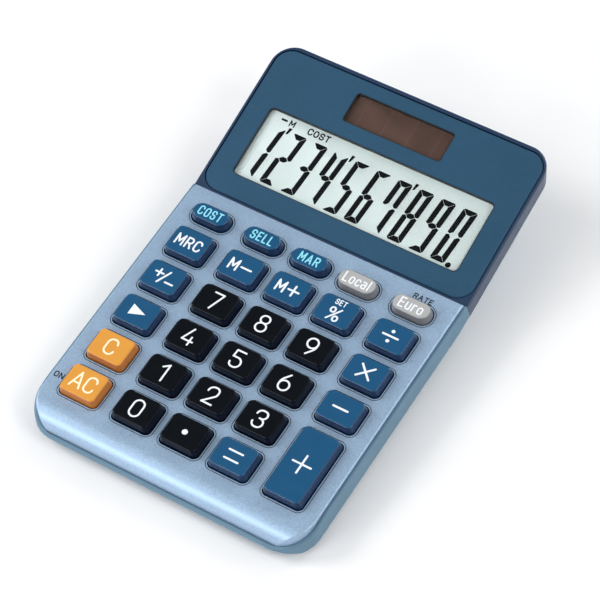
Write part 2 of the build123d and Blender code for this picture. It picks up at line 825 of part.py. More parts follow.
def screw(plane, shank, head_radius, head_thickness):
    """A cross-slot pan-head screw: the shank runs up from the plane and the head hangs below it."""
    with BuildPart() as piece:
        with BuildSketch(plane):
            Circle(head_radius)
        extrude(amount=-head_thickness)
        with BuildSketch(plane.offset(-head_thickness)):
            Rectangle(2 * head_radius * slot_reach, screw_slot)
            Rectangle(screw_slot, 2 * head_radius * slot_reach)
        extrude(amount=head_thickness / 2, mode=Mode.SUBTRACT)
        with BuildSketch(plane):
            Circle(screw_radius)
        extrude(amount=shank)
    return piece.part


with BuildPart() as board_screws:
    for x, back in board_bosses:
        plane = on(deck, x, back, -board_underside)
        shank = board_thickness + board_screw_bite - thread_play
        add(screw(plane, shank, screw_head_radius, screw_head_thickness))
finish(board_screws, "board_screws")

with BuildPart() as case_screws:
    for x, back in case_bosses:
        plane = on(deck, x, back, -case_boss_depth - case_screw_seat)
        shank = case_screw_seat + case_screw_bite - thread_play
        add(screw(plane, shank, case_screw_head_radius, case_screw_head_thickness))
    for x, back in head_bosses:
        plane = on(head, x, back, -housing_depth)
        shank = head_floor_thickness + board_screw_bite - thread_play
        add(screw(plane, shank, case_screw_head_radius, case_screw_head_thickness))
finish(case_screws, "case_screws")

# Battery, its cover and its contacts

cell_x = battery_column + cell_offset
cover_screw_x = battery_column + cover_screw_offset
with BuildPart() as battery_cover:
    with BuildSketch(Plane.XY.offset(foot_height)):
        with Locations((battery_column, battery_y)):
            RectangleRounded(cover_length, cover_width, cover_ledge - fit_gap)
    extrude(amount=base_wall)
    with BuildSketch(Plane.XY.offset(foot_height)):
        with Locations((cover_screw_x, battery_y)):
            Circle(case_screw_head_radius + screw_gap)
    extrude(amount=cover_screw_recess, mode=Mode.SUBTRACT)
    with BuildSketch(Plane.XY.offset(foot_height)):
        with Locations((cover_screw_x, battery_y)):
            Circle(screw_radius + screw_gap)
    extrude(amount=base_wall, mode=Mode.SUBTRACT)
    # finger grooves beside the cell
    with BuildSketch(Plane.XY.offset(foot_height)):
        with GridLocations(grip_pitch, 1, grip_count, 1):
            with Locations((cell_x, battery_y)):
                Rectangle(grip_width, cover_width / 2)
    extrude(amount=grip_depth, mode=Mode.SUBTRACT)
finish(battery_cover, "battery_cover")

with BuildPart() as battery_cover_screw:
    plane = Plane(origin=(cover_screw_x, battery_y, foot_height + cover_screw_recess))
    shank = base_wall - cover_screw_recess + board_screw_bite
    add(screw(plane, shank, case_screw_head_radius, cover_screw_recess - screw_gap))
finish(battery_cover_screw, "battery_cover_screw")

with BuildPart() as button_cell:
    with BuildSketch(Plane.XY.offset(cover_top)):
        with Locations((cell_x, battery_y)):
            Circle(cell_radius)
    extrude(amount=cell_height - cell_cap_height)
    chamfer(button_cell.faces().sort_by(Axis.Z)[0].edges(), cell_cap_height)
    with BuildSketch(Plane.XY.offset(cover_top + cell_height - cell_cap_height)):
        with Locations((cell_x, battery_y)):
            Circle(cell_radius - cell_cap_height)
    extrude(amount=cell_cap_height)
finish(button_cell, "button_cell")

with BuildPart() as battery_contact_negative:
    with BuildSketch(Plane.XY.offset(holder_top)):
        with Locations((cell_x, battery_y)):
            Rectangle(contact_width, 2 * (cell_radius + cell_gap + contact_tail))
            Circle(cell_radius - 2 * cell_cap_height)
    extrude(amount=contact_thickness)
finish(battery_contact_negative, "battery_contact_negative")

contact_x = cell_x - cell_radius
with BuildPart() as battery_contact_positive:
    # a leaf beside the cell with a tail that lies on the holder
    with BuildSketch(Plane.XZ.offset(-battery_y - contact_width / 2)):
        with BuildLine():
            Polyline(
                (contact_x, cover_top + cell_cap_height),
                (contact_x, holder_top + contact_thickness),
                (contact_x - contact_tail - cell_gap, holder_top + contact_thickness),
                (contact_x - contact_tail - cell_gap, holder_top),
                (contact_x - contact_thickness, holder_top),
                (contact_x - contact_thickness, cover_top + cell_cap_height),
                close=True,
            )
        make_face()
    extrude(amount=contact_width)
finish(battery_contact_positive, "battery_contact_positive")

# Wires from the solar cell and the battery to the circuit board


def wire(route):
    """A round insulated wire along straight runs joined by arcs."""
    with BuildLine() as path:
        FilletPolyline(*route, radius=wire_bend)
    with BuildPart() as piece:
        with BuildSketch(Plane(origin=path.line @ 0, z_dir=path.line % 0)):
            Circle(wire_radius)
        sweep(path=path.line)
    return piece.part


def wire_points(plane, *places):
    """Points of a wire's route, given on the deck or on the head."""
    return [plane.from_local_coords(place) for place in places]


with BuildPart() as solar_wires:
    for side in (-1, 1):
        start_x = side * solar_wire_column
        column = side * wire_column
        add(wire([
            *wire_points(
                head,
                (start_x, solar_wire_back, -solar_pocket_depth),
                (start_x, solar_wire_back, -wire_run_depth),
                (column, solar_wire_back - wire_slant, -wire_run_depth),
                (column, floor_join, -wire_run_depth),
            ),
            *wire_points(
                deck,
                (column, board_back - wire_landing, wire_bend + wire_radius - board_depth),
                (column, board_back - wire_landing, -board_depth),
            ),
        ]))
finish(solar_wires, "solar_wires")

# Feet

with BuildPart() as rubber_feet:
    with BuildSketch() as soles:
        with Locations(*feet_places):
            Circle(foot_radius - screw_gap)
    extrude(amount=foot_seat)
    chamfer(rubber_feet.faces().group_by(Axis.Z)[0].edges(), foot_edge)
finish(rubber_feet, "rubber_feet")
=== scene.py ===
"""The looks of a desk calculator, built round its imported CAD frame. Lengths are in metres."""

import json
import math

import bpy
from mathutils import Matrix, Vector


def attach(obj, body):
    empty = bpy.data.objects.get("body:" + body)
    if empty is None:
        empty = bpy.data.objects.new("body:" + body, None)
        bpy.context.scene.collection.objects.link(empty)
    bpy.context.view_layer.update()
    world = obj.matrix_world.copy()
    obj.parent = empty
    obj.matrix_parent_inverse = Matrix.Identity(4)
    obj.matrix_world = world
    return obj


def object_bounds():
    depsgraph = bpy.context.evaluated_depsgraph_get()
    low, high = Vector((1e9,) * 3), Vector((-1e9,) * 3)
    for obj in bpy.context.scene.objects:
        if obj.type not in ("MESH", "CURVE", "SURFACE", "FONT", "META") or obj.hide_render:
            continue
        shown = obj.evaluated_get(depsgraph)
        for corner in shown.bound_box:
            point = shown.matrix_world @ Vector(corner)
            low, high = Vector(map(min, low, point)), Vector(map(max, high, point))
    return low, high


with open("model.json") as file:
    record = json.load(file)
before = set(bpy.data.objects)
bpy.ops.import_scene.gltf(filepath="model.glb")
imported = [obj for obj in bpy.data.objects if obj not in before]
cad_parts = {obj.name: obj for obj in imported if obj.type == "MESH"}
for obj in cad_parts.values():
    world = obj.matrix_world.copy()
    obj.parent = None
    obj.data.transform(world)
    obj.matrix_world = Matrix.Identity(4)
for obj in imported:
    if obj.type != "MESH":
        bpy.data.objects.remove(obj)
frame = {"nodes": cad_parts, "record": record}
cad_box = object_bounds()
record = frame["record"]
scene = bpy.context.scene

MM = 0.001


# Places read from the frame

UPWARD = 0.9            # least upward part of a top face's normal
SAME_WAY = 0.99999      # least agreement of the normals of one flat face
SAME_HEIGHT = 0.01 * MM
ACROSS, UPSLOPE, OUT = 0, 1, 2  # a plane's axes


def top_plane(node):
    """The node's widest upward flat face, and half of that face's width and length.

    The matrix is at the face's middle. Its X is across the object, its Y up the slope, and its Z out of
    the face.
    """
    mesh = frame["nodes"][node].data
    upward = [face for face in mesh.polygons if face.normal.z > UPWARD]
    facing = max(upward, key=lambda face: face.area).normal.normalized()
    slope = facing.cross(Vector((1, 0, 0))).normalized()
    flat = [face for face in upward if face.normal.dot(facing) > SAME_WAY]
    height = max(flat, key=lambda face: face.area).center.dot(facing)
    corners = [
        mesh.vertices[corner].co
        for face in flat
        if abs(face.center.dot(facing) - height) < SAME_HEIGHT
        for corner in face.vertices
    ]
    across = [corner.x for corner in corners]
    along = [corner.dot(slope) for corner in corners]
    middle = (
        Vector(((max(across) + min(across)) / 2, 0, 0))
        + slope * (max(along) + min(along)) / 2
        + facing * height
    )
    turn = Matrix((Vector((1, 0, 0)), slope, facing)).transposed().to_4x4()
    half = (max(across) - min(across)) / 2, (max(along) - min(along)) / 2
    return Matrix.Translation(middle) @ turn, half


def moved(plane, across, along, out=0.0):
    """The plane, moved within itself and out of itself."""
    return plane @ Matrix.Translation((across, along, out))


def level_with(plane, other):
    """The plane, moved along its own normal to the height of another parallel plane."""
    normal = plane.col[OUT].to_3d()
    return moved(plane, 0, 0, (other.translation - plane.translation).dot(normal))


# Materials


def linear(red, green, blue):
    """A screen colour from 0 to 255 as a shader's linear colour."""
    channels = [value / 255 for value in (red, green, blue)]
    return tuple(
        value / 12.92 if value < 0.04045 else ((value + 0.055) / 1.055) ** 2.4
        for value in channels
    )


def shade(colour, share):
    """A linear colour made lighter or darker."""
    return tuple(min(value * share, 1.0) for value in colour[:3])


class Finish:
    """One procedural material: a Principled shader and the nodes that vary it over the surface."""

    def __init__(self, name, **settings):
        self.material = bpy.data.materials.new(name)
        self.material.use_nodes = True
        self.tree = self.material.node_tree
        self.shader = self.tree.nodes["Principled BSDF"]
        self.place = self.node("ShaderNodeTexCoord").outputs["Object"]
        self.height = None
        for socket, value in settings.items():
            self.set(socket.replace("_", " "), value)

    def node(self, kind, **values):
        made = self.tree.nodes.new(kind)
        for key, value in values.items():
            setattr(made, key, value)
        return made

    def join(self, out, into):
        self.tree.links.new(out, into)

    def set(self, socket, value):
        if isinstance(value, tuple):
            value = (*value[:3], 1.0)
        self.shader.inputs[socket].default_value = value

    def noise(self, size, detail=2.0, stretch=(1, 1, 1)):
        """Noise whose features are about that size, drawn out along the axes by stretch."""
        mapping = self.node("ShaderNodeMapping")
        mapping.inputs["Scale"].default_value = [1 / value for value in stretch]
        texture = self.node("ShaderNodeTexNoise")
        texture.inputs["Scale"].default_value = 1 / size
        texture.inputs["Detail"].default_value = detail
        self.join(self.place, mapping.inputs["Vector"])
        self.join(mapping.outputs["Vector"], texture.inputs["Vector"])
        return texture.outputs["Fac"]

    def flakes(self, size):
        """A random number for each tiny flake of that size."""
        texture = self.node("ShaderNodeTexVoronoi")
        texture.inputs["Scale"].default_value = 1 / size
        self.join(self.place, texture.inputs["Vector"])
        grey = self.node("ShaderNodeRGBToBW")
        self.join(texture.outputs["Color"], grey.inputs["Color"])
        return grey.outputs["Val"]

    def bands(self, size, direction="X"):
        """Bands across one axis, a band every size."""
        texture = self.node("ShaderNodeTexWave", bands_direction=direction)
        texture.inputs["Scale"].default_value = math.tau / 20 / size
        self.join(self.place, texture.inputs["Vector"])
        return texture.outputs["Fac"]

    def between(self, out, low, high, start=0.3, end=0.7):
        """A number that goes from low to high as another goes from start to end."""
        ranged = self.node("ShaderNodeMapRange")
        for socket, value in (("From Min", start), ("From Max", end), ("To Min", low), ("To Max", high)):
            ranged.inputs[socket].default_value = value
        self.join(out, ranged.inputs["Value"])
        return ranged.outputs["Result"]

    def colours(self, out, low, high, start=0.3, end=0.7):
        """A colour that goes from low to high as a number goes from start to end."""
        ramp = self.node("ShaderNodeValToRGB")
        ramp.color_ramp.elements[0].position = start
        ramp.color_ramp.elements[0].color = (*low[:3], 1.0)
        ramp.color_ramp.elements[1].position = end
        ramp.color_ramp.elements[1].color = (*high[:3], 1.0)
        self.join(out, ramp.inputs["Fac"])
        return ramp.outputs["Color"]

    def mixed(self, out, low, high):
        """One colour output mixed with another by a number."""
        mix = self.node("ShaderNodeMix", data_type="RGBA")
        self.join(out, mix.inputs["Factor"])
        self.join(low, mix.inputs["A"])
        self.join(high, mix.inputs["B"])
        return mix.outputs["Result"]

    def facing(self, direction):
        """How far the surface faces a direction, from -1 to 1."""
        normal = self.node("ShaderNodeTexCoord").outputs["Normal"]
        dot = self.node("ShaderNodeVectorMath", operation="DOT_PRODUCT")
        dot.inputs[1].default_value = direction
        self.join(normal, dot.inputs[0])
        return dot.outputs["Value"]

    def along(self, plane, axis):
        """How far the surface lies from a plane's middle along one of its axes."""
        direction = plane.col[axis].to_3d()
        dot = self.node("ShaderNodeVectorMath", operation="DOT_PRODUCT")
        dot.inputs[1].default_value = direction
        self.join(self.place, dot.inputs[0])
        shift = self.node("ShaderNodeMath", operation="SUBTRACT")
        shift.inputs[1].default_value = direction.dot(plane.translation)
        self.join(dot.outputs["Value"], shift.inputs[0])
        return shift.outputs["Value"]

    def both(self, first, second):
        """The product of two numbers."""
        product = self.node("ShaderNodeMath", operation="MULTIPLY")
        self.join(first, product.inputs[0])
        self.join(second, product.inputs[1])
        return product.outputs["Value"]

    def colour(self, out):
        self.join(out, self.shader.inputs["Base Color"])

    def roughness(self, out, low, high):
        self.join(self.between(out, low, high), self.shader.inputs["Roughness"])

    def bump(self, out, depth, strength=1.0):
        """Relief of that depth. A second call adds its relief to the first."""
        made = self.node("ShaderNodeBump")
        made.inputs["Strength"].default_value = strength
        made.inputs["Distance"].default_value = depth
        self.join(out, made.inputs["Height"])
        if self.height is not None:
            self.join(self.height, made.inputs["Normal"])
        self.height = made.outputs["Normal"]
        self.join(self.height, self.shader.inputs["Normal"])


UP = (0.0, 0.0, 1.0)


def moulded(name, colour, rough, grain=0.18 * MM, depth=0.006 * MM, **settings):
    """Moulded plastic or rubber: a fine cast grain, a faint mottle and slightly polished patches."""
    finish = Finish(name, **settings)
    cast = finish.noise(grain, 3.0)
    cloud = finish.noise(14 * MM, 3.0)
    finish.colour(finish.colours(cloud, shade(colour, 0.95), shade(colour, 1.05)))
    finish.roughness(finish.noise(5 * MM, 4.0), rough - 0.05, rough + 0.05)
    finish.bump(cast, depth)
    return finish.material


PAINTED_SHADE_FULL, PAINTED_SHADE_END = -0.14 * MM, -0.02 * MM  # where the painted shade in the grooves is full, and where it ends
PAINTED_SHADE_EDGE = 0.3 * MM  # how softly the painted shade ends round the keys' field


def metallic_paint(name, colour, rough, plane, reach, front, back):
    """Satin metallic paint: bright flakes under a thin coat, and painted shade down in the grooves.

    The painted groove shade lies within reach of the plane's middle across it, and from front to back along
    it.
    """
    finish = Finish(name, Metallic=0.5, Coat_Weight=0.12, Coat_Roughness=0.3)
    flakes = finish.flakes(0.26 * MM)
    cloud = finish.noise(22 * MM, 2.0)
    calm = finish.colours(cloud, shade(colour, 0.96), shade(colour, 1.03))
    bright = finish.colours(flakes, shade(colour, 0.76), shade(colour, 1.24), 0.1, 0.9)
    halves = finish.noise(0.6 * MM, 1.0)
    paint = finish.mixed(halves, calm, bright)
    groove_shade = finish.between(finish.along(plane, OUT), 1, 0, PAINTED_SHADE_FULL, PAINTED_SHADE_END)
    for axis, low, high in ((ACROSS, -reach, reach), (UPSLOPE, front, back)):
        place = finish.along(plane, axis)
        groove_shade = finish.both(groove_shade, finish.between(place, 0, 1, low, low + PAINTED_SHADE_EDGE))
        groove_shade = finish.both(groove_shade, finish.between(place, 1, 0, high - PAINTED_SHADE_EDGE, high))
    # painted shade: the grooves round the keys are drawn nearly black, where shade falls in them
    painted_groove_shade = finish.colours(cloud, shade(colour, 0.06), shade(colour, 0.09))
    finish.colour(finish.mixed(groove_shade, paint, painted_groove_shade))
    finish.roughness(flakes, rough - 0.05, rough + 0.05)
    finish.bump(finish.noise(0.35 * MM, 2.0), 0.003 * MM)
    return finish.material


def brushed(name, colour, rough):
    """A satin sheet with a fine straight brushed grain across the object."""
    finish = Finish(name, Metallic=0.2, Coat_Weight=0.08, Coat_Roughness=0.25, Specular_IOR_Level=0.3)
    hairs = finish.noise(0.27 * MM, 3.0, (9, 1, 1))
    cloud = finish.noise(30 * MM, 2.0)
    low = finish.colours(cloud, shade(colour, 0.93), shade(colour, 1.04))
    high = finish.colours(cloud, shade(colour, 1.05), shade(colour, 1.18))
    finish.colour(finish.mixed(finish.between(hairs, 0, 1), low, high))
    finish.roughness(hairs, rough - 0.06, rough + 0.06)
    finish.bump(hairs, 0.002 * MM)
    return finish.material


def key_plastic(name, colour, wall_shade, rough, coat=0.3, gloss=0.3):
    """A key's plastic with painted shade: its walls are drawn in a darker colour than its top, as the shade
    that falls on them.
    """
    finish = Finish(name, Coat_Weight=coat, Coat_Roughness=0.12, Specular_IOR_Level=gloss)
    cloud = finish.noise(9 * MM, 3.0)
    top = finish.colours(cloud, shade(colour, 0.96), shade(colour, 1.04))
    side = finish.colours(cloud, shade(wall_shade, 0.95), shade(wall_shade, 1.05))
    # painted shade: surfaces facing up take the top colour, the walls take the darker wall colour
    up = finish.between(finish.facing(UP), 0.0, 1.0, 0.35, 0.93)
    finish.colour(finish.mixed(up, side, top))
    finish.roughness(finish.noise(3 * MM, 4.0), rough - 0.05, rough + 0.06)
    finish.bump(finish.noise(0.16 * MM, 3.0), 0.004 * MM)
    return finish.material


def metal(name, colour, rough, stretch=(1, 1, 1)):
    """Bare metal with fine machining marks."""
    finish = Finish(name, Metallic=1.0)
    marks = finish.noise(0.25 * MM, 4.0, stretch)
    finish.colour(finish.colours(marks, shade(colour, 0.88), shade(colour, 1.05)))
    finish.roughness(marks, rough - 0.06, rough + 0.08)
    finish.bump(marks, 0.003 * MM)
    return finish.material


def clear_window(name):
    """A clear plastic lens that lets the light of lamps through to what is behind it."""
    finish = Finish(name, Transmission_Weight=1.0, IOR=1.2, Roughness=0.02)
    smears = finish.noise(6 * MM, 3.0)
    finish.colour(finish.colours(smears, (0.95, 0.97, 0.97), (0.98, 0.99, 0.99)))
    light = finish.node("ShaderNodeLightPath")
    through = finish.node("ShaderNodeBsdfTransparent")
    chosen = finish.node("ShaderNodeMixShader")
    output = finish.tree.nodes["Material Output"]
    finish.join(light.outputs["Is Shadow Ray"], chosen.inputs["Fac"])
    finish.join(finish.shader.outputs["BSDF"], chosen.inputs[1])
    finish.join(through.outputs["BSDF"], chosen.inputs[2])
    finish.join(chosen.outputs["Shader"], output.inputs["Surface"])
    return finish.material


def display_cell(name, colour):
    """The display's grey-green polariser over its cell, with faint grain."""
    finish = Finish(name, Roughness=0.5, Specular_IOR_Level=0.15)
    grain = finish.noise(0.12 * MM, 2.0)
    finish.colour(finish.colours(grain, shade(colour, 0.975), shade(colour, 1.02)))
    finish.bump(grain, 0.001 * MM)
    return finish.material


def solar_film(name, colour, line):
    """Amorphous silicon on glass: a dark film crossed by the thin lines between its cells."""
    finish = Finish(name, Coat_Weight=0.1, Coat_Roughness=0.1, Roughness=0.35, Specular_IOR_Level=0.2)
    cloud = finish.noise(6 * MM, 3.0)
    film = finish.colours(cloud, shade(colour, 0.9), shade(colour, 1.12))
    edge = finish.colours(cloud, shade(line, 0.95), line)
    gap = finish.between(finish.bands(9.1 * MM), 0.0, 0.35, 0.9985, 1.0)
    finish.colour(finish.mixed(gap, film, edge))
    finish.bump(cloud, 0.002 * MM)
    return finish.material


def board_mask(name, mask, track):
    """A circuit board: green solder mask over copper tracks."""
    finish = Finish(name, Coat_Weight=0.4, Coat_Roughness=0.2)
    bricks = finish.node("ShaderNodeTexBrick", offset=0.35)
    bricks.inputs["Scale"].default_value = 130.0
    bricks.inputs["Mortar Size"].default_value = 0.035
    finish.join(finish.place, bricks.inputs["Vector"])
    cloud = finish.noise(4 * MM, 3.0)
    plain = finish.colours(cloud, shade(mask, 0.9), shade(mask, 1.1))
    tracks = finish.colours(cloud, shade(track, 0.95), shade(track, 1.1))
    finish.colour(finish.mixed(bricks.outputs["Fac"], plain, tracks))
    finish.roughness(cloud, 0.3, 0.42)
    finish.bump(bricks.outputs["Fac"], 0.01 * MM)
    return finish.material


def ink(name, colour, rough=0.45, gloss=0.4):
    """Pad-printed ink: a thin film with a faintly uneven gloss."""
    finish = Finish(name, Specular_IOR_Level=gloss)
    speck = finish.noise(0.3 * MM, 3.0)
    finish.colour(finish.colours(speck, shade(colour, 0.95), shade(colour, 1.03)))
    finish.roughness(speck, rough - 0.05, rough + 0.08)
    return finish.material


# The part of the deck that the keys and the grooves round them take up, where the deck's paint gets painted
# shade

deck_plane, _ = top_plane("upper_case")
groove_reach = 2.6 * MM  # past a key's top
spots = []
for part in record["subparts"]:
    if part["node"].startswith("key_"):
        key_plane, (half_across, half_along) = top_plane(part["node"])
        middle = deck_plane.inverted() @ key_plane.translation
        spots.append((middle.x, middle.y, half_across + groove_reach, half_along + groove_reach))
field_reach = max(abs(x) + across for x, y, across, along in spots)
field_front = min(y - along for x, y, across, along in spots)
field_back = max(y + along for x, y, across, along in spots)

# Materials by slot

FINISHES = {
    # the deck's paint carries painted shade in the grooves round the keys
    "deck_blue": metallic_paint(
        "satin_steel_blue", linear(160, 186, 212), 0.44, deck_plane, field_reach, field_front, field_back
    ),
    "case_blue": moulded("textured_grey_blue", linear(92, 126, 148), 0.5, 0.25 * MM, 0.012 * MM),
    "navy": moulded("satin_navy", linear(15, 46, 78), 0.36, 0.15 * MM, 0.003 * MM, Coat_Weight=0.2),
    "panel_blue": brushed("brushed_denim_blue", linear(40, 78, 104), 0.42),
    "window": clear_window("clear_lens"),
    "lcd": display_cell("display_cell", linear(214, 226, 224)),
    "foil": metal("reflector_foil", (0.8, 0.8, 0.78), 0.3),
    "black_plastic": moulded("black_frame_plastic", linear(28, 30, 33), 0.5),
    "flex": moulded("amber_film", linear(178, 106, 42), 0.35, 0.6 * MM, 0.002 * MM),
    "solar": solar_film("solar_film", linear(86, 64, 56), linear(150, 120, 104)),
    "wire": moulded("red_insulation", linear(170, 38, 34), 0.42),
    "board": board_mask("green_mask", linear(24, 92, 60), linear(44, 128, 84)),
    "resin": moulded("black_resin", linear(22, 22, 24), 0.3, 0.9 * MM, 0.02 * MM),
    "components": moulded("ceramic_body", linear(168, 146, 116), 0.45),
    "silicone": moulded("grey_silicone", linear(176, 180, 182), 0.55, Subsurface_Weight=0.2),
    "steel": metal("zinc_plated_steel", (0.6, 0.6, 0.61), 0.32),
    "cell": metal("cell_steel", (0.72, 0.72, 0.72), 0.24, (1, 6, 1)),
    "contact": metal("nickel_spring_strip", (0.66, 0.63, 0.56), 0.28),
    "foot_rubber": moulded("dark_rubber", linear(52, 54, 58), 0.75, 0.3 * MM, 0.02 * MM),
    # each key's second colour is the painted shade of its walls
    "orange_key": key_plastic("amber_key", linear(218, 150, 58), linear(190, 112, 38), 0.42),
    "grey_key": key_plastic("warm_grey_key", linear(172, 172, 172), linear(120, 120, 122), 0.42),
    "blue_key": key_plastic("petrol_key", linear(5, 76, 116), linear(7, 36, 74), 0.38),
    "dark_key": key_plastic("midnight_key", linear(1, 5, 11), linear(2, 7, 28), 0.36, 0.12, 0.1),
}

for part in record["subparts"]:
    shown = frame["nodes"][part["node"]]
    shown.data.materials.clear()
    shown.data.materials.append(FINISHES[part["material_slot"]])


# Flat pieces: how printed strokes and display segments are made

ARC_STEP = math.radians(15)
LEAST_TURN = 0.02       # a corner that turns less, in radians, isn't rounded
ROOM_SHARE = 0.999      # how much of a stroke a corner may use
LEAST_STEP = 0.004 * MM
INK_DEPTH = 0.016 * MM  # how far printing stands above its surface
INK_SINK = 0.004 * MM   # and how far it goes below
LIFT_STEP = 0.0004 * MM
CAP_TURNS = [math.radians(angle) for angle in (80, 60, 35, 12)]  # where a round end has its points


def build(name, plane, corners, faces, body, material):
    """A mesh piece from corners in a plane's own axes, riding on a body."""
    mesh = bpy.data.meshes.new(name)
    mesh.from_pydata([plane @ Vector(corner) for corner in corners], [], faces)
    mesh.materials.append(material)
    mesh.validate()
    made = bpy.data.objects.new(name, mesh)
    scene.collection.objects.link(made)
    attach(made, body)
    return made


def filleted(path, closed, least):
    """Points along a path of (x, y, radius) corners, rounded by their radius or by the least radius."""
    spots = [Vector(corner[:2]) for corner in path]
    count = len(spots)
    line = []
    for index, corner in enumerate(path):
        here = spots[index]
        if not closed and index in (0, count - 1):
            line.append(here)
            continue
        back = spots[index - 1] - here
        ahead = spots[(index + 1) % count] - here
        turn = math.pi - back.angle(ahead)
        if turn < LEAST_TURN:
            line.append(here)
            continue
        share_back = 1.0 if not closed and index == 1 else 0.5
        share_ahead = 1.0 if not closed and index == count - 2 else 0.5
        room = min(back.length * share_back, ahead.length * share_ahead) * ROOM_SHARE
        reach = min(max(corner[2], least) * math.tan(turn / 2), room)
        radius = reach / math.tan(turn / 2)
        start = here + back.normalized() * reach
        inward = (back.normalized() + ahead.normalized()).normalized()
        centre = here + inward * math.hypot(radius, reach)
        side = 1 if back.x * ahead.y - back.y * ahead.x < 0 else -1
        steps = max(2, math.ceil(turn / ARC_STEP))
        for step in range(steps + 1):
            angle = side * turn * step / steps
            spoke = start - centre
            across = spoke.x * math.cos(angle) - spoke.y * math.sin(angle)
            along = spoke.x * math.sin(angle) + spoke.y * math.cos(angle)
            line.append(centre + Vector((across, along)))
    kept = line[:1]
    for point in line[1:]:
        if (point - kept[-1]).length > LEAST_STEP:
            kept.append(point)
    if closed and (kept[0] - kept[-1]).length < LEAST_STEP:
        kept.pop()
    return kept


def ribbon(path, closed, wide, low, high, narrowing=0.94):
    """The corners and faces of a stroke with round ends, from low to high, narrowed at its top."""
    half = wide / 2
    line = filleted(path, closed, half)
    stations = []
    count = len(line)
    for index, here in enumerate(line):
        before = line[index - 1] if index or closed else here
        after = line[(index + 1) % count] if index < count - 1 or closed else here
        stations.append((here, (after - before).normalized(), half))
    if not closed:
        (start, start_way, _), (end, end_way, _) = stations[0], stations[-1]
        caps = [(half * math.sin(turn), half * math.cos(turn)) for turn in CAP_TURNS]
        head = [(start - start_way * out, start_way, reach) for out, reach in caps]
        tail = [(end + end_way * out, end_way, reach) for out, reach in reversed(caps)]
        stations = head + stations + tail
    corners, faces = [], []
    for here, ahead, reach in stations:
        side = Vector((-ahead.y, ahead.x))
        for share, height in ((1, low), (narrowing, high), (-narrowing, high), (-1, low)):
            corners.append((*(here + side * reach * share), height))
    rings = len(stations)
    for ring in range(rings if closed else rings - 1):
        near, far = ring * 4, (ring + 1) % rings * 4
        for edge in range(4):
            follow = (edge + 1) % 4
            faces.append((near + edge, far + edge, far + follow, near + follow))
    if not closed:
        last = (rings - 1) * 4
        faces += [(0, 1, 2, 3), (last + 3, last + 2, last + 1, last)]
    return corners, faces


